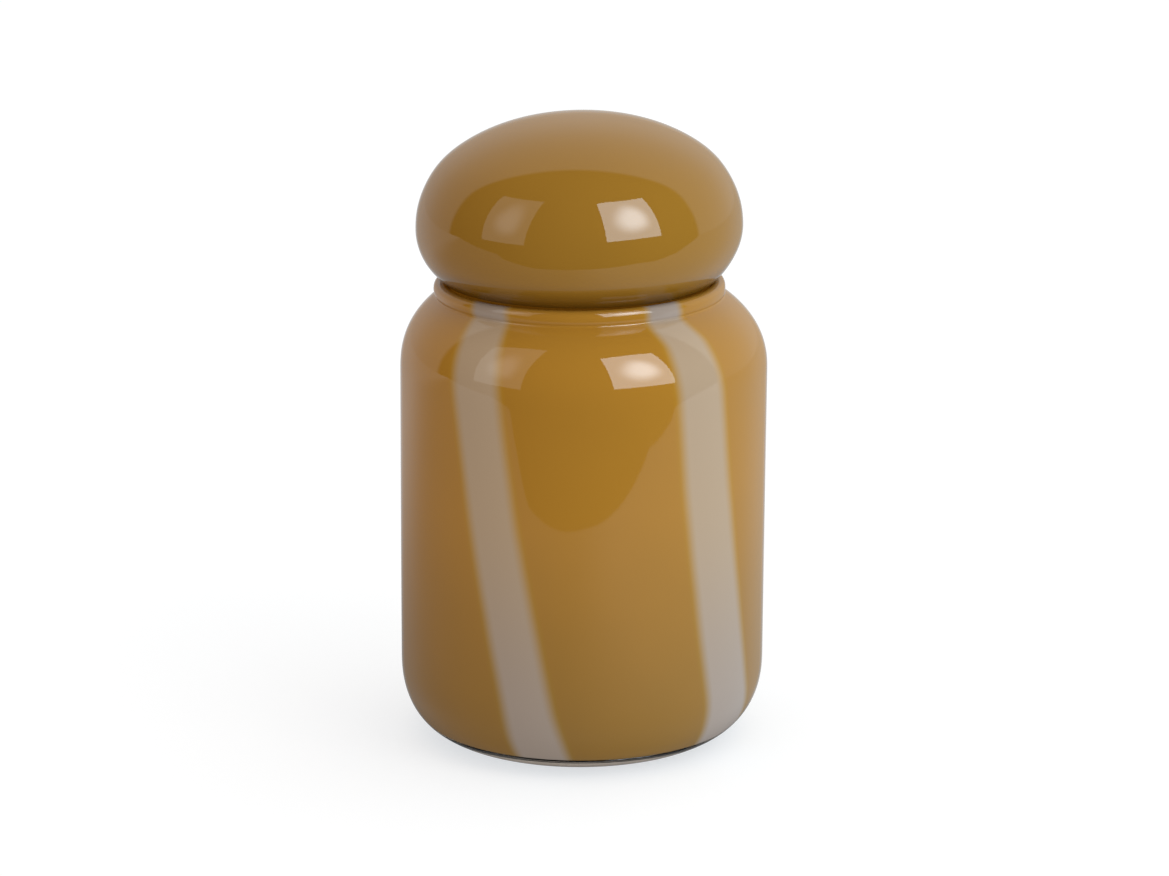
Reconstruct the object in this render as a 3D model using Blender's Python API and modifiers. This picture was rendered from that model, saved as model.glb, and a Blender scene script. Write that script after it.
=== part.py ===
# Apothecary jar: a mouth-blown storage jar in cased glass, with a lift-off lid.
#
# The jar stands on the XY plane with its axis on +Z and the origin at the centre
# of the foot. Every piece is turned: an outline in the XZ plane, at +X, is spun
# around Z by a Screw modifier. The outlines are superellipse arcs, the rounded
# shapes that a blown bubble takes when its sides are marvered straight.
#
#   jar_body     mustard cased glass: foot corner, wall, shoulder and rolled collar
#   jar_lining   white opal glass that lines the jar up to its neck
#   clear_foot   clear gather under the coloured bubble, which the jar stands on
#   lid_shell    mustard glass lid: flattened ball with an open plug below it
#   lid_lining   white opal glass that lines the lid's dome

import math

import bpy

# Jar outline, in metres
BODY_RADIUS = 0.060
WALL_TOP = 0.124            # where the straight wall turns into the shoulder
SHOULDER_SPAN = 0.080       # half-width of the curve that the shoulder is cut from
SHOULDER_RISE = 0.0393      # height of that curve above WALL_TOP
SHOULDER_FULLNESS = 2.33    # 2 is an ellipse, more is squarer
FOOT_RADIUS = 0.038         # outer edge of the flat that the jar stands on
CORNER_HEIGHT = 0.027       # height of the rounded corner above the foot
CORNER_FULLNESS = 2.35
PUNT_RADIUS = 0.026         # shallow hollow ground in the middle of the foot
PUNT_DEPTH = 0.0008

# Layers of glass
GLASS_WALL = 0.0024         # coloured layer
LINING_WALL = 0.0012        # white opal layer inside it
LAYER_GAP = 0.0003          # between the faces of neighbouring pieces
CLEAR_FLOOR = 0.0030        # thickness of the clear foot under the bubble
CLEAR_HEIGHT = 0.0060       # height that the clear glass reaches on the outside
BUBBLE_INSET = 0.0048       # how far the bubble's flat floor stops short of the foot's

# Rolled collar round the mouth
COLLAR_RADIUS = 0.0475
COLLAR_THICKNESS = 0.0046
COLLAR_HEIGHT = 0.0051
COLLAR_FULLNESS = 2.4
COLLAR_RISE = 0.0011        # height of its centre above the shoulder below it
COLLAR_CREASE = 0.0003      # step out from the foot of the roll to the shoulder

# Lid
LID_OVERHANG = 0.0057       # how far the lid's widest part stands past the collar
LID_DOME = 0.03675          # height of the lid above its widest part
LID_DOME_FULLNESS = 2.14
LID_TUCK = 0.0312           # depth of the curve that tucks in below the widest part
SEAT_GAP = 0.0004           # straight up, between the collar and the resting lid
PLUG_CLEARANCE = 0.0011     # all round, between the plug and the mouth
PLUG_DEPTH = 0.0155         # reach of the plug below the top of the collar
PLUG_FILLET = 0.0008        # where the tuck turns down into the plug

# Fineness of the turned surfaces
SEGMENTS = 36
CORNER_STEPS = 7
SHOULDER_STEPS = 5
COLLAR_STEPS = 12
DOME_STEPS = 8
TUCK_STEPS = 4
SMALL_STEPS = 3
MERGE_DISTANCE = 0.00001

# Sizes that follow from the ones above
MOUTH_RADIUS = COLLAR_RADIUS - COLLAR_THICKNESS
COLLAR_CENTRE = COLLAR_RADIUS - COLLAR_THICKNESS / 2
LID_RADIUS = COLLAR_RADIUS + LID_OVERHANG
PLUG_RADIUS = MOUTH_RADIUS - PLUG_CLEARANCE
BUBBLE_FLOOR = CLEAR_FLOOR + LAYER_GAP
BUBBLE_FLAT = FOOT_RADIUS - BUBBLE_INSET


def clear_scene():
    for old in list(bpy.data.objects):
        bpy.data.objects.remove(old, do_unlink=True)


def arc(across, up, fullness, start, end, steps):
    """Points of a superellipse about (0, 0), from one angle to another, in degrees."""
    points = []
    for step in range(steps + 1):
        angle = math.radians(start + (end - start) * step / steps)
        c, s = math.cos(angle), math.sin(angle)
        x = math.copysign(abs(c) ** (2 / fullness), c) * across
        z = math.copysign(abs(s) ** (2 / fullness), s) * up
        points.append((x, z))
    return points


def moved(points, x, z):
    return [(px + x, pz + z) for px, pz in points]


def height_on_arc(x, across, up, fullness):
    """Height of a superellipse about (0, 0) above a point x on its width."""
    share = min(abs(x) / across, 1.0)
    return up * (1 - share ** fullness) ** (1 / fullness)


def corner(radius, flat, floor):
    """Rounded bottom corner, from the wall down to the edge of the flat floor."""
    curve = arc(radius - flat, CORNER_HEIGHT, CORNER_FULLNESS, 0, -90, CORNER_STEPS)
    return moved(curve, flat, floor + CORNER_HEIGHT)


def shoulder(depth, end_radius):
    """Shoulder of the layer that lies depth inside the outside, neck to wall."""
    across = SHOULDER_SPAN - depth
    up = SHOULDER_RISE - depth
    middle = BODY_RADIUS - SHOULDER_SPAN
    share = (end_radius - middle) / across
    end = math.degrees(math.acos(share ** (SHOULDER_FULLNESS / 2)))
    curve = arc(across, up, SHOULDER_FULLNESS, end, 0, SHOULDER_STEPS)
    return moved(curve, middle, WALL_TOP)


def shoulder_height(radius):
    x = radius - (BODY_RADIUS - SHOULDER_SPAN)
    return WALL_TOP + height_on_arc(x, SHOULDER_SPAN, SHOULDER_RISE, SHOULDER_FULLNESS)


def collar_height():
    """Height of the centre of the collar's roll."""
    return shoulder_height(COLLAR_CENTRE) + COLLAR_RISE


def collar_roll():
    """Outside of the collar, from the mouth over the top to where it meets the shoulder."""
    ring = arc(COLLAR_THICKNESS / 2, COLLAR_HEIGHT / 2, COLLAR_FULLNESS, 180, -80, COLLAR_STEPS)
    ring = moved(ring, COLLAR_CENTRE, collar_height())
    return [(x, z) for x, z in ring if x < COLLAR_CENTRE or z > shoulder_height(x)]


def lid_height():
    """Height of the lid's widest part when its tuck rests on the collar."""
    rest = 0.0
    samples = 200
    for step in range(samples + 1):
        x = COLLAR_THICKNESS / 2 * (step / samples - 1)
        top = height_on_arc(x, COLLAR_THICKNESS / 2, COLLAR_HEIGHT / 2, COLLAR_FULLNESS)
        tuck = height_on_arc(COLLAR_CENTRE + x, LID_RADIUS, LID_TUCK, 2)
        rest = max(rest, collar_height() + top + tuck)
    return rest + SEAT_GAP


def foot_outline():
    """Outside of the jar below the wall, from the wall down to the flat foot."""
    return corner(BODY_RADIUS, FOOT_RADIUS, 0)


def split_at(points, level):
    """A falling outline in two, above and below a level that both parts end on."""
    for i, ((x0, z0), (x1, z1)) in enumerate(zip(points, points[1:])):
        if z0 >= level > z1:
            share = (z0 - level) / (z0 - z1)
            cut = (x0 + (x1 - x0) * share, level)
            return points[:i + 1] + [cut], [cut] + points[i + 1:]
    raise ValueError("the outline doesn't cross this level")


def bubble_corner(depth, floor):
    """Bottom corner of a layer of the bubble, depth inside the wall and above the floor."""
    return corner(BODY_RADIUS - depth, BUBBLE_FLAT, floor)


def jar_body_outline():
    floor = BUBBLE_FLOOR + GLASS_WALL
    inside = bubble_corner(GLASS_WALL, floor)[::-1]
    inside += shoulder(GLASS_WALL, MOUTH_RADIUS)[::-1]
    roll = collar_roll()
    outside = shoulder(0, roll[-1][0] + COLLAR_CREASE)
    rebate = CLEAR_HEIGHT + LAYER_GAP
    outside += split_at(foot_outline(), rebate)[0]
    underside = split_at(bubble_corner(GLASS_WALL, BUBBLE_FLOOR), rebate)[1]
    return [(0, floor)] + inside + roll + outside + underside + [(0, BUBBLE_FLOOR)]


def jar_lining_outline():
    outer = GLASS_WALL + LAYER_GAP
    inner = outer + LINING_WALL
    edge = MOUTH_RADIUS + LAYER_GAP
    inside = shoulder(inner, edge)
    inside += bubble_corner(inner, BUBBLE_FLOOR + inner)
    outside = shoulder(outer, edge)
    outside += bubble_corner(outer, BUBBLE_FLOOR + outer)
    return [(0, BUBBLE_FLOOR + inner)] + inside[::-1] + outside + [(0, BUBBLE_FLOOR + outer)]


def clear_foot_outline():
    top = split_at(bubble_corner(GLASS_WALL, CLEAR_FLOOR), CLEAR_HEIGHT)[1]
    side = split_at(foot_outline(), CLEAR_HEIGHT)[1]
    punt = arc(PUNT_RADIUS, PUNT_DEPTH, 2, 0, 90, SMALL_STEPS)
    return [(0, CLEAR_FLOOR)] + top[::-1] + side + punt


def lid_side(depth, end_radius):
    """A face of the lid, depth inside its outside, from the top to the end of the tuck."""
    across = LID_RADIUS - depth
    dome = arc(across, LID_DOME - depth, LID_DOME_FULLNESS, 90, 0, DOME_STEPS)
    end = math.degrees(math.acos(end_radius / across))
    tuck = arc(across, LID_TUCK - depth, 2, 0, -end, TUCK_STEPS)
    return [(0, LID_DOME - depth)] + dome[1:] + tuck[1:]


def fillet(side, radius):
    """Soft turn from the end of the tuck down to the upright wall of the plug."""
    (x0, z0), (x1, z1) = side[-2:]
    run = x1 - radius
    bend = z1 - run * (z0 - z1) / (x0 - x1)
    turn = arc(run, z1 - bend + run, 2, 90, 180, SMALL_STEPS)
    return [(x1 + x, bend - run + z) for x, z in turn[1:]]


def lid_shell_outline():
    """Outline of the lid shell, about the middle of the lid's widest part."""
    outside = lid_side(0, PLUG_RADIUS + PLUG_FILLET)
    inside = lid_side(GLASS_WALL, PLUG_RADIUS - GLASS_WALL + PLUG_FILLET)
    end = collar_height() + COLLAR_HEIGHT / 2 - PLUG_DEPTH - lid_height()
    lip = arc(GLASS_WALL / 2, GLASS_WALL / 2, 2, 0, -180, 2 * SMALL_STEPS)
    lip = moved(lip, PLUG_RADIUS - GLASS_WALL / 2, end + GLASS_WALL / 2)
    outside += fillet(outside, PLUG_RADIUS)
    inside += fillet(inside, PLUG_RADIUS - GLASS_WALL)
    return outside + lip + inside[::-1]


def lid_lining_outline():
    outer = GLASS_WALL + LAYER_GAP
    edge = PLUG_RADIUS - GLASS_WALL + PLUG_FILLET
    outside = lid_side(outer, edge)
    return outside + lid_side(outer + LINING_WALL, edge)[::-1]


def glass(name, colour, roughness, clear=0.0):
    material = bpy.data.materials.new(name)
    material.use_nodes = True
    shader = material.node_tree.nodes["Principled BSDF"]
    shader.inputs["Base Color"].default_value = (*colour, 1.0)
    shader.inputs["Roughness"].default_value = roughness
    shader.inputs["Metallic"].default_value = 0.0
    shader.inputs["IOR"].default_value = 1.5
    shader.inputs["Transmission Weight"].default_value = clear
    return material


def turned_piece(name, outline, material, seat, collection):
    """An outline at +X, spun round the Z axis of its seat."""
    mesh = bpy.data.meshes.new(name)
    edges = [(i, i + 1) for i in range(len(outline) - 1)]
    mesh.from_pydata([(x, 0, z) for x, z in outline], edges, [])
    mesh.materials.append(material)
    piece = bpy.data.objects.new(name, mesh)
    piece.parent = seat
    collection.objects.link(piece)
    spin = piece.modifiers.new("Spin", "SCREW")
    spin.axis = "Z"
    spin.steps = SEGMENTS
    spin.render_steps = SEGMENTS
    spin.use_merge_vertices = True
    spin.merge_threshold = MERGE_DISTANCE
    spin.use_smooth_shade = True
    return piece


def seat(name, height, collection):
    """An empty on the jar's axis that a group of pieces is placed from."""
    empty = bpy.data.objects.new(name, None)
    empty.empty_display_size = BODY_RADIUS / 4
    empty.location = (0, 0, height)
    collection.objects.link(empty)
    return empty


def main():
    clear_scene()
    jar = bpy.data.collections.new("apothecary_jar")
    bpy.context.scene.collection.children.link(jar)

    mustard = (0.45, 0.24, 0.05)
    opal = (0.80, 0.76, 0.68)
    clear = (0.92, 0.92, 0.93)

    foot_seat = seat("foot_seat", 0, jar)
    turned_piece("jar_body", jar_body_outline(),
                 glass("jar_body", mustard, 0.05), foot_seat, jar)
    turned_piece("jar_lining", jar_lining_outline(),
                 glass("jar_lining", opal, 0.10), foot_seat, jar)
    turned_piece("clear_foot", clear_foot_outline(),
                 glass("clear_foot", clear, 0.02, clear=1.0), foot_seat, jar)

    lid_seat = seat("lid_seat", lid_height(), jar)
    turned_piece("lid_shell", lid_shell_outline(),
                 glass("lid_shell", mustard, 0.05), lid_seat, jar)
    turned_piece("lid_lining", lid_lining_outline(),
                 glass("lid_lining", opal, 0.10), lid_seat, jar)


main()
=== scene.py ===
import math

import bmesh
import bpy
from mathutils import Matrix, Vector


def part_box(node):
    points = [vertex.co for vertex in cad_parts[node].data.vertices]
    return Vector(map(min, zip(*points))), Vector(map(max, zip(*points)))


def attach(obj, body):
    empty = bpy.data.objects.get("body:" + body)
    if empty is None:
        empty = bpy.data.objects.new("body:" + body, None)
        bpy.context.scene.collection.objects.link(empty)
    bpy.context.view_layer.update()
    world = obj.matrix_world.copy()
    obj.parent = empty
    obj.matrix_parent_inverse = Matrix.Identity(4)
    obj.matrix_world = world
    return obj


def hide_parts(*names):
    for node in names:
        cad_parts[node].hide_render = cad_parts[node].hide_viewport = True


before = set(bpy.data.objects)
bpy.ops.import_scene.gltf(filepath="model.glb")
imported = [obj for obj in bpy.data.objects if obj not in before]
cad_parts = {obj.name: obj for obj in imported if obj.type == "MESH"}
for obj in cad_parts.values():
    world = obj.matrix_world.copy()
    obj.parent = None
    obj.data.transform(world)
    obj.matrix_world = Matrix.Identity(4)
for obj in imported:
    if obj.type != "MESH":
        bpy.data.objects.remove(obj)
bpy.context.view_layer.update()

scene = bpy.context.scene
scene.view_settings.view_transform = "Standard"

# sizes read off the frame, in metres
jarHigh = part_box("jar_body")[1]
lidLow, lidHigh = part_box("lid_shell")
bodyRadius = jarHigh.x
collarTop = jarHigh.z
lidRadius = lidHigh.x
lidTop = lidHigh.z
plugEnd = lidLow.z
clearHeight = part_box("clear_foot")[1].z

turning = {
    "segments": 144,         # round the axis
    "longestStep": 0.0025,   # along a straight run
    "onAxis": 1e-7,          # nearer to the axis than this, a point is a pole
    # steps along each curve
    "shoulder": 60, "corner": 28, "collar": 52, "dome": 48, "lip": 16, "punt": 12, "bend": 8,
    "inside": 20,            # curves that show with the lid off
    "hidden": 14,            # curves between two layers
}

glassLayers = {
    "colour": 0.0024,        # mustard layer
    "opal": 0.0012,          # white layer inside it
    "gap": 0.0003,
}


def arcPoints(across, up, fullness, start, end, steps):
    # a superellipse about (0, 0), angles in degrees
    points = []
    for step in range(steps + 1):
        angle = math.radians(start + (end - start) * step / steps)
        c, s = math.cos(angle), math.sin(angle)
        x = math.copysign(abs(c) ** (2 / fullness), c) * across
        z = math.copysign(abs(s) ** (2 / fullness), s) * up
        points.append((x, z))
    return points


def movedBy(points, x, z):
    return [(px + x, pz + z) for px, pz in points]


def splitAt(points, level):
    # a falling outline, cut in two at a height
    for i, ((x0, z0), (x1, z1)) in enumerate(zip(points, points[1:])):
        if z0 >= level > z1:
            share = (z0 - level) / (z0 - z1)
            cut = (x0 + (x1 - x0) * share, level)
            return points[:i + 1] + [cut], [cut] + points[i + 1:]
    return points, []


def eased(before, after, reach):
    # two runs of an outline joined by a soft bend instead of a crease
    meet = before[-1]
    head = [p for p in before if math.dist(p, meet) > reach]
    tail = [p for p in after if math.dist(p, meet) > reach]
    bend = []
    for step in range(1, turning["bend"]):
        t = step / turning["bend"]
        bend.append(tuple((1 - t) ** 2 * a + 2 * t * (1 - t) * m + t * t * b
                          for a, m, b in zip(head[-1], meet, tail[0])))
    return head + bend + tail


def finer(points):
    # long straight runs get points in between
    out = [points[0]]
    for (x0, z0), (x1, z1) in zip(points, points[1:]):
        parts = max(1, math.ceil(math.hypot(x1 - x0, z1 - z0) / turning["longestStep"]))
        out += [(x0 + (x1 - x0) * i / parts, z0 + (z1 - z0) * i / parts)
                for i in range(1, parts + 1)]
    return out


def turned(name, outline, reshape):
    # spins an outline round Z into one closed mesh; points on the axis become single poles
    points = finer(outline)
    count = turning["segments"]
    verts, rings = [], []
    for x, z in points:
        if x < turning["onAxis"]:
            rings.append([len(verts)] * count)
            verts.append(reshape(0.0, 0.0, z))
        else:
            rings.append(list(range(len(verts), len(verts) + count)))
            for i in range(count):
                turn = 2 * math.pi * i / count
                verts.append(reshape(x * math.cos(turn), x * math.sin(turn), z))
    closed = points[0][0] >= turning["onAxis"]
    faces = []
    for upper, lower in zip(rings, rings[1:] + rings[:1] if closed else rings[1:]):
        for i in range(count):
            j = (i + 1) % count
            corners = [upper[i], lower[i], lower[j], upper[j]]
            face = [c for k, c in enumerate(corners) if c not in corners[:k]]
            if len(face) > 2:
                faces.append(face)
    mesh = bpy.data.meshes.new(name)
    mesh.from_pydata(verts, [], faces)
    mesh.update()
    fixNormals(mesh)
    mesh.polygons.foreach_set("use_smooth", [True] * len(mesh.polygons))
    piece = bpy.data.objects.new(name, mesh)
    scene.collection.objects.link(piece)
    print("turned", name, len(mesh.polygons), "faces")
    return piece


def fixNormals(mesh):
    work = bmesh.new()
    work.from_mesh(mesh)
    bmesh.ops.recalc_face_normals(work, faces=work.faces)
    work.to_mesh(mesh)
    work.free()


jarShape = {
    "wallTop": 0.124,        # straight wall turns into the shoulder
    "shoulderSpan": 0.080,
    "shoulderRise": 0.0393,
    "shoulderFullness": 2.33,
    "footRadius": 0.0369,
    "cornerHeight": 0.0262,
    "cornerFullness": 2.25,
    "clearFloor": 0.0030,
    "bubbleInset": 0.0048,   # flat floor of the bubble stops short of the foot
    "puntRadius": 0.026,
    "puntDepth": 0.0008,
    "collarRadius": 0.0475,
    "collarThickness": 0.0046,
    "collarHeight": 0.0055,
    "collarFullness": 2.4,
    "collarCrease": 0.0003,
    "collarEase": 0.0005,    # reach of the soft hollow under the collar
    "outOfRound": 0.0012,    # share of the radius, two slow lobes
    "lobeTurn": 0.7,
    "thirdLobe": 0.4,        # share of those, in three lobes
    "thirdDrift": 40,        # that turn on the way up, radians a metre
    "roundFoot": 0.03,       # the lobes fade out below this height
    "lean": 0.0060,          # radians
    "neckAside": -0.0016,    # the neck sits off the middle of the body
    "neckLean": 0.007,
    "footAside": -0.0006,
}

mouthRadius = jarShape["collarRadius"] - jarShape["collarThickness"]
collarCentre = jarShape["collarRadius"] - jarShape["collarThickness"] / 2
collarHeight = collarTop - jarShape["collarHeight"] / 2
shoulderMiddle = bodyRadius - jarShape["shoulderSpan"]
bubbleFloor = jarShape["clearFloor"] + glassLayers["gap"]
bubbleFlat = jarShape["footRadius"] - jarShape["bubbleInset"]


def jarHand(x, y, z):
    # a blown wall is never a perfect circle, and the neck is never quite in the middle
    if math.hypot(x, y) > turning["onAxis"]:
        turn = math.atan2(y, x)
        swell = math.cos(2 * turn + jarShape["lobeTurn"])
        swell += jarShape["thirdLobe"] * math.cos(3 * turn + jarShape["thirdDrift"] * z)
        swell *= jarShape["outOfRound"] * min(1.0, z / jarShape["roundFoot"])
        x, y = x * (1 + swell), y * (1 + swell)
    rise = min(1.0, max(0.0, (z - jarShape["wallTop"]) / (collarHeight - jarShape["wallTop"]))) ** 2
    tilt = jarShape["neckLean"] * rise * x
    settle = max(0.0, 1 - z / jarShape["cornerHeight"]) ** 2
    aside = jarShape["neckAside"] * rise + jarShape["footAside"] * settle
    return (x + jarShape["lean"] * z + aside, y, z + tilt)


def corner(radius, flat, floor, steps):
    high = jarShape["cornerHeight"]
    curve = arcPoints(radius - flat, high, jarShape["cornerFullness"], 0, -90, steps)
    return movedBy(curve, flat, floor + high)


def shoulder(depth, endRadius, steps):
    across = jarShape["shoulderSpan"] - depth
    fullness = jarShape["shoulderFullness"]
    end = math.degrees(math.acos(((endRadius - shoulderMiddle) / across) ** (fullness / 2)))
    curve = arcPoints(across, jarShape["shoulderRise"] - depth, fullness, end, 0, steps)
    return movedBy(curve, shoulderMiddle, jarShape["wallTop"])


def shoulderHeight(radius):
    fullness = jarShape["shoulderFullness"]
    share = min(abs(radius - shoulderMiddle) / jarShape["shoulderSpan"], 1.0)
    return jarShape["wallTop"] + jarShape["shoulderRise"] * (1 - share ** fullness) ** (1 / fullness)


def collarRoll():
    ring = arcPoints(jarShape["collarThickness"] / 2, jarShape["collarHeight"] / 2,
                     jarShape["collarFullness"], 180, -80, turning["collar"])
    ring = movedBy(ring, collarCentre, collarHeight)
    return [(x, z) for x, z in ring if x < collarCentre or z > shoulderHeight(x)]


def jarShell():
    wall = glassLayers["colour"]
    floor = bubbleFloor + wall
    rebate = clearHeight + glassLayers["gap"]
    inside = corner(bodyRadius - wall, bubbleFlat, floor, turning["hidden"])[::-1]
    inside += shoulder(wall, mouthRadius, turning["hidden"])[::-1]
    roll = collarRoll()
    outside = shoulder(0, roll[-1][0] + jarShape["collarCrease"], turning["shoulder"])
    outside += splitAt(corner(bodyRadius, jarShape["footRadius"], 0, turning["corner"]), rebate)[0]
    outside = eased(roll, outside, jarShape["collarEase"])
    bubble = corner(bodyRadius - wall, bubbleFlat, bubbleFloor, turning["corner"])
    outline = [(0, floor)] + inside + outside + splitAt(bubble, rebate)[1] + [(0, bubbleFloor)]
    return turned("jarShell", outline, jarHand)


def jarOpal():
    def skin(depth, steps):
        bend = corner(bodyRadius - depth, bubbleFlat, bubbleFloor + depth, steps)
        return shoulder(depth, mouthRadius + glassLayers["gap"], steps) + bend

    outer = glassLayers["colour"] + glassLayers["gap"]
    inner = outer + glassLayers["opal"]
    walls = skin(inner, turning["inside"])[::-1] + skin(outer, turning["hidden"])
    outline = [(0, bubbleFloor + inner)] + walls + [(0, bubbleFloor + outer)]
    return turned("jarOpal", outline, jarHand)


def clearFoot():
    floor, steps = jarShape["clearFloor"], turning["corner"]
    bubble = corner(bodyRadius - glassLayers["colour"], bubbleFlat, floor, steps)
    top = splitAt(bubble, clearHeight)[1]
    side = splitAt(corner(bodyRadius, jarShape["footRadius"], 0, steps), clearHeight)[1]
    punt = arcPoints(jarShape["puntRadius"], jarShape["puntDepth"], 2, 0, 90, turning["punt"])
    return turned("clearFoot", [(0, floor)] + top[::-1] + side + punt, jarHand)


lidShape = {
    "middle": 0.0365,        # the widest part is this far below the top
    "dome": 0.0364,
    "domeFullness": 2.12,
    "swell": 0.00050,        # faint shoulder round the dome
    "swellHeight": 0.0225,
    "swellSpan": 0.0065,
    "tuck": 0.0312,          # depth of the curve below the widest part
    "plugClearance": 0.0007,
    "plugFillet": 0.0008,
    "lean": 0.0255,          # radians, the dome leans over its seat
    "seatLean": 0.008,
    "leanSpan": 0.010,       # height over which the one becomes the other
    "drop": 0.00035,         # settles into the last of the seat's gap
    "aside": -0.0007,
    "outOfRound": 0.0015,
    "lobeTurn": 2.1,
    "roundSpan": 0.012,      # the lobes grow over this height above the seat
}

lidMiddle = lidTop - lidShape["middle"]
plugRadius = mouthRadius - lidShape["plugClearance"]


def lidHand(x, y, z):
    # the lid was blown by hand: its dome leans a little over its seat
    above = max(0.0, z - collarTop)
    if math.hypot(x, y) > turning["onAxis"]:
        swell = lidShape["outOfRound"] * math.cos(2 * math.atan2(y, x) + lidShape["lobeTurn"])
        swell *= min(1.0, above / lidShape["roundSpan"])
        x, y = x * (1 + swell), y * (1 + swell)
    rise = min(1.0, above / lidShape["leanSpan"])
    lean = lidShape["seatLean"] + (lidShape["lean"] - lidShape["seatLean"]) * rise * rise * (3 - 2 * rise)
    aside = lidShape["aside"] - lean * (z - lidMiddle)
    return (x + aside, y, z + lean * x - lidShape["drop"])


def swollen(z):
    away = (z - lidShape["swellHeight"]) / lidShape["swellSpan"]
    return lidShape["swell"] * math.exp(-away * away)


def lidSide(depth, endRadius, steps):
    across = lidRadius - depth
    dome = arcPoints(across, lidShape["dome"] - depth, lidShape["domeFullness"], 90, 0, steps)
    dome = [(x + swollen(z), z) for x, z in dome]
    end = math.degrees(math.acos(endRadius / across))
    tuck = arcPoints(across, lidShape["tuck"] - depth, 2, 0, -end, steps)
    return [(0, lidShape["dome"] - depth)] + dome[1:] + tuck[1:]


def fillet(side, radius):
    # from the tuck of the lid into the straight plug
    (x0, z0), (x1, z1) = side[-2:]
    run = x1 - radius
    bend = z1 - run * (z0 - z1) / (x0 - x1)
    turn = arcPoints(run, z1 - bend + run, 2, 90, 180, turning["bend"])
    return [(x1 + x, bend - run + z) for x, z in turn[1:]]


def lidShell():
    wall = glassLayers["colour"]
    outside = lidSide(0, plugRadius + lidShape["plugFillet"], turning["dome"])
    inside = lidSide(wall, plugRadius - wall + lidShape["plugFillet"], turning["inside"])
    lip = arcPoints(wall / 2, wall / 2, 2, 0, -180, turning["lip"])
    lip = movedBy(lip, plugRadius - wall / 2, plugEnd - lidMiddle + wall / 2)
    outside += fillet(outside, plugRadius)
    inside += fillet(inside, plugRadius - wall)
    return turned("lidShell", movedBy(outside + lip + inside[::-1], 0, lidMiddle), lidHand)


def lidOpal():
    outer = glassLayers["colour"] + glassLayers["gap"]
    edge = plugRadius - glassLayers["colour"] + lidShape["plugFillet"]
    outline = lidSide(outer, edge, turning["hidden"])
    outline += lidSide(outer + glassLayers["opal"], edge, turning["inside"])[::-1]
    return turned("lidOpal", movedBy(outline, 0, lidMiddle), lidHand)


def newMaterial(name):
    material = bpy.data.materials.new(name)
    material.use_nodes = True
    return material, material.node_tree


def addNode(tree, kind, **settings):
    node = tree.nodes.new(kind)
    for key, value in settings.items():
        setattr(node, key, value)
    return node


def feed(tree, socket, value):
    # a number or a colour is set on the socket, another node's output is linked to it
    if isinstance(value, (int, float)):
        socket.default_value = value
    elif isinstance(value, tuple):
        socket.default_value = (*value, 1.0)
    else:
        tree.links.new(value, socket)


def maths(tree, operation, *values):
    node = addNode(tree, "ShaderNodeMath", operation=operation)
    for socket, value in zip(node.inputs, values):
        feed(tree, socket, value)
    return node.outputs[0]


def mixColour(tree, factor, first, second, blend="MIX"):
    node = addNode(tree, "ShaderNodeMix", data_type="RGBA", blend_type=blend)
    for place, value in ((0, factor), (6, first), (7, second)):
        feed(tree, node.inputs[place], value)
    return node.outputs[2]


def ramp(tree, value, low, high, start=0.0, end=1.0, curve="SMOOTHSTEP"):
    node = addNode(tree, "ShaderNodeMapRange", interpolation_type=curve)
    for name, setting in (("Value", value), ("From Min", low), ("From Max", high),
                          ("To Min", start), ("To Max", end)):
        feed(tree, node.inputs[name], setting)
    return node.outputs[0]


def splitAxes(tree, vector):
    split = addNode(tree, "ShaderNodeSeparateXYZ")
    tree.links.new(vector, split.inputs[0])
    return split.outputs["X"], split.outputs["Y"], split.outputs["Z"]


def noiseField(tree, vector, scale, detail):
    node = addNode(tree, "ShaderNodeTexNoise")
    for name, value in (("Vector", vector), ("Scale", scale), ("Detail", detail), ("Roughness", 0.5)):
        feed(tree, node.inputs[name], value)
    return node.outputs[0]


def newGroup(name, inputs, outputs):
    # inputs are numbers, apart from a point
    group = bpy.data.node_groups.new(name, "ShaderNodeTree")
    for way, sockets in (("INPUT", inputs), ("OUTPUT", outputs)):
        for socket in sockets:
            kind = "NodeSocketVector" if socket == "Point" else "NodeSocketFloat"
            group.interface.new_socket(socket, in_out=way, socket_type=kind)
    return group, group.nodes.new("NodeGroupInput").outputs, group.nodes.new("NodeGroupOutput").inputs


blown = {
    "drawnOut": (1.0, 1.0, 0.18),   # streaks run up the wall
    "cloudDetail": 3.0,
    "streakDetail": 3.0,
    "rippleScale": 55.0,
    "rippleDetail": 1.0,
}


def blownGlassGroup():
    # slow cloudiness, drawn-out streaks and the faint ripple that a blown wall has
    group, source, result = newGroup("blownGlass", ("Point", "Cloud size", "Streak size"),
                                     ("Cloud", "Streak", "Ripple"))
    drawn = addNode(group, "ShaderNodeVectorMath", operation="MULTIPLY")
    drawn.inputs[1].default_value = blown["drawnOut"]
    group.links.new(source["Point"], drawn.inputs[0])
    fields = {
        "Cloud": (source["Point"], source["Cloud size"], blown["cloudDetail"]),
        "Streak": (drawn.outputs[0], source["Streak size"], blown["streakDetail"]),
        "Ripple": (source["Point"], blown["rippleScale"], blown["rippleDetail"]),
    }
    for name, settings in fields.items():
        group.links.new(noiseField(group, *settings), result[name])
    return group


blownGlass = blownGlassGroup()


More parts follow.
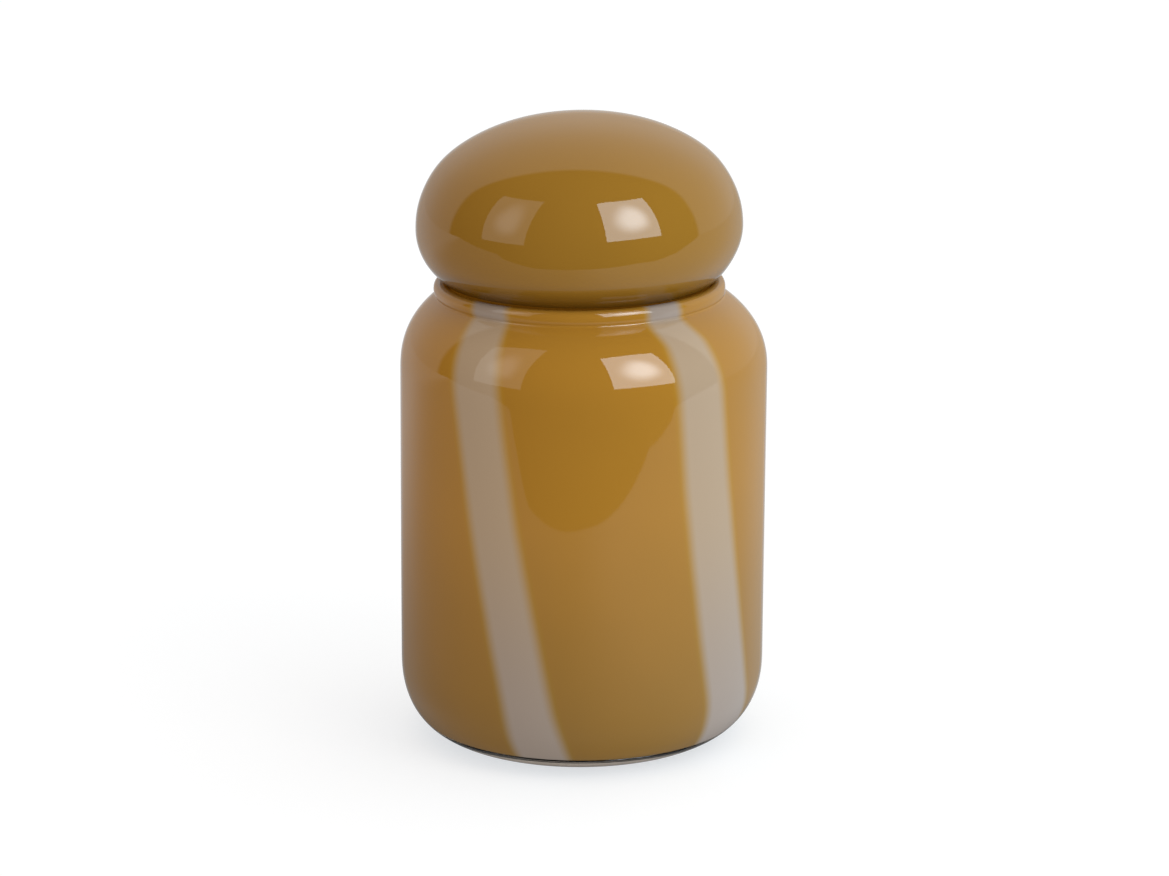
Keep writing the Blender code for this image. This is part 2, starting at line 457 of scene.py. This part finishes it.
def placeBlown(tree, glass):
    # the group's masks for one glass, and its bump and roughness on that glass's shader
    shader = tree.nodes["Principled BSDF"]
    place = addNode(tree, "ShaderNodeGroup", node_tree=blownGlass)
    point = addNode(tree, "ShaderNodeTexCoord").outputs["Object"]
    tree.links.new(point, place.inputs["Point"])
    place.inputs["Cloud size"].default_value = glass["cloudSize"]
    place.inputs["Streak size"].default_value = glass["streakSize"]
    bump = addNode(tree, "ShaderNodeBump")
    bump.inputs["Distance"].default_value = glass["ripple"]
    bump.inputs["Strength"].default_value = 1.0
    tree.links.new(place.outputs["Ripple"], bump.inputs["Height"])
    tree.links.new(bump.outputs["Normal"], shader.inputs["Normal"])
    gloss = maths(tree, "MULTIPLY_ADD", place.outputs["Streak"], glass["streakRoughness"], glass["roughness"])
    tree.links.new(gloss, shader.inputs["Roughness"])
    shader.inputs["IOR"].default_value = glass["ior"]
    return shader, point, place.outputs["Cloud"]


rim = {"from": 0.60, "to": 0.84, "gloss": 0.5, "dull": 0.06}


def rimGloss(tree, shader):
    # the skin of the glass is a little dull at the rim, where it is seen edge on
    facing = addNode(tree, "ShaderNodeLayerWeight").outputs["Facing"]
    level = ramp(tree, facing, rim["from"], rim["to"], rim["gloss"], rim["dull"])
    tree.links.new(level, shader.inputs["Specular IOR Level"])


# five rods of pale glass, picked up on the bubble and twisted as it turned;
# turn is the angle from the front at the shoulder, in degrees, rising towards +X
stripes = {
    "colour": (0.438, 0.340, 0.242),
    "thin": (0.340, 0.296, 0.272),      # painted shade on the rods near the foot; on the collar, their own greyer colour
    "rodFootShade": (0.010, 0.095),         # painted shade: full below the first height, none above the second
    "thinNeck": (0.1475, 0.1500),       # from none to most
    "thinNeckShare": 0.9,
    "shoulder": 0.125,                  # height that the turns are given at
    "blur": 0.042,                      # radians, each side of the edge
    "fringe": 0.060,
    "wander": 0.02,                     # radians, how unsteady an edge is
    "bowLength": 0.1,                   # half a wave of the bow
    "flareFrom": 0.03,                  # below the shoulder, where a rod has its own width
    "footFlare": (0.098, 0.120),        # below the shoulder
    "footFlareShare": 0.18,
    "rolled": (-0.0165, -0.0235),       # below the shoulder, so the collar
    "rods": (
        # the front-left rod's lower weight is painted shade on the jar's shaded left side
        {"turn": -34.4, "twist": 172, "bow": 1.0, "roll": 0.0, "half": 7.8, "flare": -0.5, "weight": 0.90},
        {"turn": 39.7, "twist": 134, "bow": 1.5, "roll": -2.8, "half": 8.6, "flare": 2.0, "weight": 1.0},
        {"turn": 112.0, "twist": 158, "bow": 1.0, "roll": -1.0, "half": 7.9, "flare": 1.0, "weight": 0.94},
        {"turn": 182.0, "twist": 165, "bow": 1.5, "roll": -1.8, "half": 8.4, "flare": 0.5, "weight": 0.98},
        {"turn": 253.5, "twist": 150, "bow": 0.8, "roll": -0.6, "half": 8.1, "flare": 0.0, "weight": 0.92},
    ),
}


def rodGroup():
    # how near a point is to one twisted rod: inside it, and in the gold glow along its edge
    group, source, result = newGroup(
        "twistedRod", ("Turn", "Below shoulder", "Centre", "Twist", "Bow", "Roll", "Half width", "Flare",
                       "Blur", "Fringe"), ("Rod", "Glow"))
    below = source["Below shoulder"]
    wave = maths(group, "SINE", maths(group, "MULTIPLY", below, math.pi / stripes["bowLength"]))
    centre = maths(group, "MULTIPLY_ADD", below, source["Twist"], source["Centre"])
    centre = maths(group, "SUBTRACT", centre, maths(group, "MULTIPLY", wave, source["Bow"]))
    # dragged along where the collar was rolled
    rolled = ramp(group, below, *stripes["rolled"])
    centre = maths(group, "MULTIPLY_ADD", rolled, source["Roll"], centre)
    away = maths(group, "SUBTRACT", source["Turn"], centre)
    away = maths(group, "ABSOLUTE", maths(group, "WRAP", away, math.pi, -math.pi))
    # the rod widens on its way down, and most where the bubble was closed
    past = maths(group, "SUBTRACT", below, stripes["flareFrom"])
    half = maths(group, "MULTIPLY_ADD", past, source["Flare"], 1.0)
    foot = ramp(group, below, *stripes["footFlare"], 0.0, stripes["footFlareShare"])
    half = maths(group, "MULTIPLY", maths(group, "ADD", half, foot), source["Half width"])
    away = maths(group, "SUBTRACT", away, half)
    inward = maths(group, "MULTIPLY", source["Blur"], -1.0)
    group.links.new(ramp(group, away, inward, source["Blur"], 1.0, 0.0), result["Rod"])
    group.links.new(ramp(group, away, 0.0, source["Fringe"], 1.0, 0.0), result["Glow"])
    return group


twistedRod = rodGroup()


def stripeMasks(tree, turn, height):
    below = maths(tree, "SUBTRACT", stripes["shoulder"], height)
    inRod, inGlow = 0.0, 0.0
    for rod in stripes["rods"]:
        place = addNode(tree, "ShaderNodeGroup", node_tree=twistedRod)
        settings = {
            "Turn": turn,
            "Below shoulder": below,
            "Centre": math.radians(rod["turn"]),
            "Twist": math.radians(rod["twist"]),
            "Bow": math.radians(rod["bow"]),
            "Roll": math.radians(rod["roll"]),
            "Half width": math.radians(rod["half"]),
            "Flare": rod["flare"],
            "Blur": stripes["blur"],
            "Fringe": stripes["fringe"],
        }
        for name, value in settings.items():
            feed(tree, place.inputs[name], value)
        inGlow = maths(tree, "MAXIMUM", place.outputs["Glow"], inGlow)
        inRod = maths(tree, "MAXIMUM", maths(tree, "MULTIPLY", place.outputs["Rod"], rod["weight"]), inRod)
    return inRod, inGlow


jarMustard = {
    "base": (0.402, 0.201, 0.0252),
    "footShade": (0.228, 0.127, 0.0200),     # painted shade towards the foot, where the light falls off, partly a deeper tone of the thicker glass
    "footShadeTop": 0.10,                    # no painted shade above this height
    "heightShare": 0.85,
    "cloudShare": 0.3,
    "fringe": (1.06, 1.16, 1.00),       # what the edge of a rod does to it
    "cloudSize": 22.0,
    "streakSize": 90.0,
    "ripple": 0.00002,
    "roughness": 0.02,
    "streakRoughness": 0.02,
    "ior": 1.5,
}


def jarGlassMaterial():
    material, tree = newMaterial("mustardJarGlass")
    shader, point, cloud = placeBlown(tree, jarMustard)
    x, y, z = splitAxes(tree, point)
    turn = maths(tree, "ARCTAN2", x, maths(tree, "MULTIPLY", y, -1.0))
    turn = maths(tree, "MULTIPLY_ADD", maths(tree, "SUBTRACT", cloud, 0.5), stripes["wander"], turn)
    inRod, inGlow = stripeMasks(tree, turn, z)
    # painted shade: the mustard darkens towards the foot, under a random cloudy tone
    footShadeAndCloud = maths(tree, "MULTIPLY", ramp(tree, z, 0.0, jarMustard["footShadeTop"]), jarMustard["heightShare"])
    footShadeAndCloud = maths(tree, "MULTIPLY_ADD", cloud, jarMustard["cloudShare"], footShadeAndCloud)
    body = mixColour(tree, footShadeAndCloud, jarMustard["footShade"], jarMustard["base"])
    fringe = mixColour(tree, inGlow, (1.0, 1.0, 1.0), jarMustard["fringe"])
    body = mixColour(tree, 1.0, body, fringe, "MULTIPLY")
    # painted shade greys the rods towards the foot; on the collar they take their own greyer colour
    foot = ramp(tree, z, *stripes["rodFootShade"], 1.0, 0.0)
    neck = ramp(tree, z, *stripes["thinNeck"], 0.0, stripes["thinNeckShare"])
    rod = mixColour(tree, maths(tree, "MAXIMUM", foot, neck), stripes["colour"], stripes["thin"])
    tree.links.new(mixColour(tree, inRod, body, rod), shader.inputs["Base Color"])
    rimGloss(tree, shader)
    return material


lidMustard = {
    "full": (0.334, 0.175, 0.0225),
    "thin": (0.290, 0.150, 0.0195),
    "neck": (0.140, 0.064, 0.0060),     # in the shade of the collar
    "neckSpan": (0.1545, 0.1635),       # heights between which the neck's colour fades out
    "plugGlow": (0.060, 0.022, 0.0010),     # painted glow on the plug inside the mouth, standing in for light the glass carries down
    "plugGlowAbove": 0.0005,
    "cloudSize": 18.0,
    "streakSize": 70.0,
    "ripple": 0.00002,
    "roughness": 0.02,
    "streakRoughness": 0.02,
    "ior": 1.5,
}


def lidGlassMaterial():
    material, tree = newMaterial("mustardLidGlass")
    shader, point, cloud = placeBlown(tree, lidMustard)
    z = splitAxes(tree, point)[2]
    body = mixColour(tree, cloud, lidMustard["thin"], lidMustard["full"])
    body = mixColour(tree, ramp(tree, z, *lidMustard["neckSpan"]), lidMustard["neck"], body)
    tree.links.new(body, shader.inputs["Base Color"])
    # painted glow: the plug below the collar's top gives off a faint amber light
    plugGlow = maths(tree, "LESS_THAN", z, collarTop + lidMustard["plugGlowAbove"])
    light = mixColour(tree, plugGlow, (0.0, 0.0, 0.0), lidMustard["plugGlow"])
    tree.links.new(light, shader.inputs["Emission Color"])
    shader.inputs["Emission Strength"].default_value = 1.0
    rimGloss(tree, shader)
    return material


opalWhite = {
    "thin": (0.74, 0.70, 0.62),
    "full": (0.84, 0.81, 0.75),
    "cloudSize": 25.0,
    "streakSize": 80.0,
    "ripple": 0.00003,
    "roughness": 0.05,
    "streakRoughness": 0.05,
    "ior": 1.5,
}

smokyClear = {
    "thin": (0.36, 0.27, 0.19),
    "full": (0.66, 0.58, 0.50),
    "cloudSize": 60.0,
    "streakSize": 150.0,
    "ripple": 0.00004,
    "roughness": 0.0,
    "streakRoughness": 0.03,
    "ior": 1.5,
}


def plainGlassMaterial(name, glass, transmission):
    material, tree = newMaterial(name)
    shader, point, cloud = placeBlown(tree, glass)
    tree.links.new(mixColour(tree, cloud, glass["thin"], glass["full"]), shader.inputs["Base Color"])
    shader.inputs["Transmission Weight"].default_value = transmission
    return material


print("building the jar")
jarGlass, lidGlass = jarGlassMaterial(), lidGlassMaterial()
opalGlass = plainGlassMaterial("opalLining", opalWhite, 0.0)
clearGlass = plainGlassMaterial("clearFootGlass", smokyClear, 1.0)

pieces = (
    (jarShell, jarGlass, "jar", "jar_body", "jar_glass"),
    (jarOpal, opalGlass, "jar", "jar_lining", "opal_glass"),
    (clearFoot, clearGlass, "jar", "clear_foot", "clear_glass"),
    (lidShell, lidGlass, "lid", "lid_shell", "lid_glass"),
    (lidOpal, opalGlass, "lid", "lid_lining", "opal_glass"),
)
for make, material, body, node, slot in pieces:
    piece = make()
    piece.data.materials.append(material)
    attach(piece, body)
    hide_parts(node)


def direction(azimuth, elevation):
    # azimuth from the front (-Y) towards +X
    a, e = math.radians(azimuth), math.radians(elevation)
    return Vector((math.cos(e) * math.sin(a), -math.cos(e) * math.cos(a), math.sin(e)))


def stageMesh(name, verts, faces, material):
    mesh = bpy.data.meshes.new(name)
    mesh.from_pydata(verts, [], faces)
    mesh.materials.append(material)
    piece = bpy.data.objects.new(name, mesh)
    scene.collection.objects.link(piece)
    return piece


def seenOnlyInGloss(piece):
    piece.visible_camera = False
    piece.visible_diffuse = False
    piece.visible_transmission = False
    piece.visible_volume_scatter = False
    piece.visible_shadow = False


def glowMaterial(name):
    # a plain light-giving surface, with its strength still to set
    material, tree = newMaterial(name)
    tree.nodes.clear()
    glow = addNode(tree, "ShaderNodeEmission")
    tree.links.new(glow.outputs[0], addNode(tree, "ShaderNodeOutputMaterial").inputs[0])
    return material, tree, glow


floorLook = {
    "radius": 30.0,
    "sides": 64,
    "height": -0.0002,
    "colour": (0.38, 0.38, 0.38),
    "roughness": 0.9,
    "glow": (0.650, 0.672, 0.695),
}


def buildFloor():
    material, tree = newMaterial("paleFloor")
    inputs = tree.nodes["Principled BSDF"].inputs
    inputs["Base Color"].default_value = (*floorLook["colour"], 1.0)
    inputs["Roughness"].default_value = floorLook["roughness"]
    inputs["Specular IOR Level"].default_value = 0.0
    inputs["Emission Color"].default_value = (*floorLook["glow"], 1.0)
    inputs["Emission Strength"].default_value = 1.0
    r, sides = floorLook["radius"], floorLook["sides"]
    turns = [2 * math.pi * i / sides for i in range(sides)]
    ring = [(r * math.cos(turn), r * math.sin(turn), floorLook["height"]) for turn in turns]
    floor = stageMesh("floor", ring, [list(range(sides))], material)
    floor.visible_glossy = False
    floor.visible_diffuse = False


table = {
    "glow": 0.40,
    "gain": 0.30,
    "gainRight": (-0.05, 0.12),   # X where it starts to brighten, and where it is full
    "gainBack": (0.05, 0.38),     # the same along Y
    "shade": 0.10,                # the jar's own shade, close round its foot
    "shadeSpan": (0.034, 0.075),
    # front edge, from left to right
    "front": ((-0.90, -0.56), (-0.20, -0.323), (0.0, -0.350), (0.29, -0.360), (0.40, -0.30), (0.90, -0.32)),
    "sides": ((8.0, 0.3), (8.0, 8.0), (-8.0, 8.0), (-8.0, 0.3)),
    "height": -0.0001,
}


def buildTable():
    # the white table top that the glass mirrors, which ends in front of the jar
    material, tree, glow = glowMaterial("tableGlow")
    point = addNode(tree, "ShaderNodeTexCoord").outputs["Object"]
    right, back = splitAxes(tree, point)[:2]
    brightRight = ramp(tree, right, *table["gainRight"])
    brightBack = ramp(tree, back, *table["gainBack"])
    level = maths(tree, "MAXIMUM", brightBack, brightRight)
    level = maths(tree, "MULTIPLY_ADD", level, table["gain"], table["glow"])
    reach = addNode(tree, "ShaderNodeVectorMath", operation="LENGTH")
    tree.links.new(point, reach.inputs[0])
    shade = ramp(tree, reach.outputs["Value"], *table["shadeSpan"], table["shade"], 1.0)
    tree.links.new(maths(tree, "MULTIPLY", level, shade), glow.inputs["Strength"])
    verts = [(x, y, table["height"]) for x, y in table["front"] + table["sides"]]
    seenOnlyInGloss(stageMesh("tableTop", verts, [list(range(len(verts)))], material))


# corners as azimuth and elevation from the middle of the lid, clockwise from the top left
softboxes = {
    "rightBox": {"corners": ((15.3, 52.2), (61.0, 49.3), (58.0, 8.2), (18.4, 8.6)), "away": 1.4,
                 "colour": (0.92, 1.0, 1.06), "glow": 5.0, "core": 12.0},
    "leftBox": {"corners": ((-77.5, 46.0), (-35.5, 59.5), (-38.6, 3.2), (-70.6, 3.0)), "away": 1.4,
                "colour": (1.0, 0.98, 0.95), "glow": 1.0, "core": 2.3},
}
softboxCore = {"from": 0.05, "to": 0.45}   # the lamp's bright middle, as a share of the cloth


def buildSoftbox(name, box):
    material, tree, glow = glowMaterial(name)
    glow.inputs["Color"].default_value = (*box["colour"], 1.0)
    away = addNode(tree, "ShaderNodeVectorMath", operation="DISTANCE")
    away.inputs[1].default_value = (0.5, 0.5, 0.0)
    tree.links.new(addNode(tree, "ShaderNodeTexCoord").outputs["UV"], away.inputs[0])
    level = ramp(tree, away.outputs["Value"], softboxCore["from"], softboxCore["to"],
                 box["core"], box["glow"], "SMOOTHERSTEP")
    tree.links.new(level, glow.inputs["Strength"])
    lidEye = Vector((0, 0, lidMiddle))
    verts = [tuple(lidEye + direction(*angles) * box["away"]) for angles in box["corners"]]
    panel = stageMesh(name, verts, [(0, 1, 2, 3)], material)
    layer = panel.data.uv_layers.new(name="UVMap")
    for loop, place in zip(layer.data, ((0, 1), (1, 1), (1, 0), (0, 0))):
        loop.uv = place
    seenOnlyInGloss(panel)


flag = {
    "radius": 0.070,
    "above": 0.0125,         # its lower edge, over the top of the lid
    "height": 0.20,
    "from": -62.0,           # degrees round from the front
    "to": 61.0,
    "steps": 40,
    "glow": 0.02,
}


def buildFlag():
    # a curved black flag over the front of the lid keeps both boxes off the back of the dome
    material, tree, dark = glowMaterial("blackFlag")
    dark.inputs["Strength"].default_value = flag["glow"]
    low = lidTop + flag["above"]
    verts = []
    for step in range(flag["steps"] + 1):
        turn = flag["from"] + (flag["to"] - flag["from"]) * step / flag["steps"]
        side = direction(turn, 0) * flag["radius"]
        verts += [(side.x, side.y, low), (side.x, side.y, low + flag["height"])]
    faces = [(2 * i, 2 * i + 2, 2 * i + 3, 2 * i + 1) for i in range(flag["steps"])]
    card = stageMesh("flag", verts, faces, material)
    seenOnlyInGloss(card)
    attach(card, "lid")


air = {
    "backdrop": 1.0,
    "soft": 0.90,                   # soft light from all round
    "warm": (1.0, 0.85, 0.74),      # from the left
    "cool": (0.97, 1.01, 1.00),     # from the right
    "tintSpan": 0.8,
    "lean": (0.42, 0.0, 0.12),      # more of it from the right and from above
    "sweep": 0.73,                  # white sweep behind, as the glass mirrors it
    "sweepLean": 0.16,
    "sweepFrom": 0.20,              # how far back the sweep starts
    "sweepTurn": 0.10,
    "sweepCurve": 0.08,
    "sweepSoft": 0.035,
    "room": 0.02,                   # dark room in front
}


def buildWorld():
    world = bpy.data.worlds.new("studioAir")
    scene.world = world
    world.use_nodes = True
    tree = world.node_tree
    tree.nodes.clear()
    rays = addNode(tree, "ShaderNodeLightPath").outputs
    way = addNode(tree, "ShaderNodeTexCoord").outputs["Generated"]
    x, y = splitAxes(tree, way)[:2]
    # mirrored: a dark room in front, the white sweep behind and overhead
    edge = maths(tree, "MULTIPLY_ADD", x, air["sweepTurn"], maths(tree, "SUBTRACT", y, air["sweepFrom"]))
    edge = maths(tree, "MULTIPLY_ADD", maths(tree, "MULTIPLY", x, x), air["sweepCurve"], edge)
    sweep = maths(tree, "MULTIPLY_ADD", x, air["sweepLean"], air["sweep"])
    mirrored = ramp(tree, edge, -air["sweepSoft"], air["sweepSoft"], air["room"], sweep)
    # soft light: even, leaning to one side
    lean = addNode(tree, "ShaderNodeVectorMath", operation="DOT_PRODUCT")
    lean.inputs[1].default_value = air["lean"]
    tree.links.new(way, lean.inputs[0])
    level = maths(tree, "MULTIPLY", maths(tree, "ADD", lean.outputs["Value"], 1.0), air["soft"])
    for ray, value in (("Is Glossy Ray", mirrored), ("Is Camera Ray", air["backdrop"])):
        mix = addNode(tree, "ShaderNodeMix")
        for place, setting in ((0, rays[ray]), (2, level), (3, value)):
            feed(tree, mix.inputs[place], setting)
        level = mix.outputs[0]
    toRight = ramp(tree, x, -air["tintSpan"], air["tintSpan"], curve="LINEAR")
    tint = mixColour(tree, toRight, air["warm"], air["cool"])
    plain = maths(tree, "MAXIMUM", rays["Is Glossy Ray"], rays["Is Camera Ray"])
    tint = mixColour(tree, plain, tint, (1.0, 1.0, 1.0))
    background = addNode(tree, "ShaderNodeBackground")
    tree.links.new(tint, background.inputs["Color"])
    tree.links.new(level, background.inputs["Strength"])
    tree.links.new(background.outputs[0], addNode(tree, "ShaderNodeOutputWorld").inputs[0])


keyLight = {"azimuth": 45, "elevation": 40, "away": 1.2, "target": (0, 0, 0.10),
            "size": 0.6, "watts": 2.0, "colour": (1.0, 0.98, 0.95)}


def standOff(piece, target, azimuth, elevation, away):
    # stands a lamp or the camera off from a target, turned to look at it
    target = Vector(target)
    piece.location = target + direction(azimuth, elevation) * away
    piece.rotation_euler = (target - piece.location).to_track_quat("-Z", "Y").to_euler()
    scene.collection.objects.link(piece)


def buildKeyLight():
    data = bpy.data.lights.new("keyLight", "AREA")
    data.shape = "SQUARE"
    data.size = keyLight["size"]
    data.energy = keyLight["watts"]
    data.color = keyLight["colour"]
    lamp = bpy.data.objects.new("keyLight", data)
    lamp.visible_camera = False
    lamp.visible_glossy = False
    lamp.visible_transmission = False
    standOff(lamp, keyLight["target"], keyLight["azimuth"], keyLight["elevation"], keyLight["away"])


cameraPlace = {"away": 1.40, "elevation": 15.18, "aim": (0.0, 0.0, 0.0997),
               "lens": 131.06, "sensor": 36.0, "shift": 0.0026}


def placeCamera():
    view = bpy.data.cameras.new("camera")
    view.lens = cameraPlace["lens"]
    view.sensor_fit = "HORIZONTAL"
    view.sensor_width = cameraPlace["sensor"]
    view.shift_x = cameraPlace["shift"]
    camera = bpy.data.objects.new("camera", view)
    standOff(camera, cameraPlace["aim"], 0, cameraPlace["elevation"], cameraPlace["away"])
    scene.camera = camera


print("lighting the studio")
buildFloor()
buildTable()
for name, box in softboxes.items():
    buildSoftbox(name, box)
buildFlag()
buildWorld()
buildKeyLight()

print("placing the camera")
placeCamera()
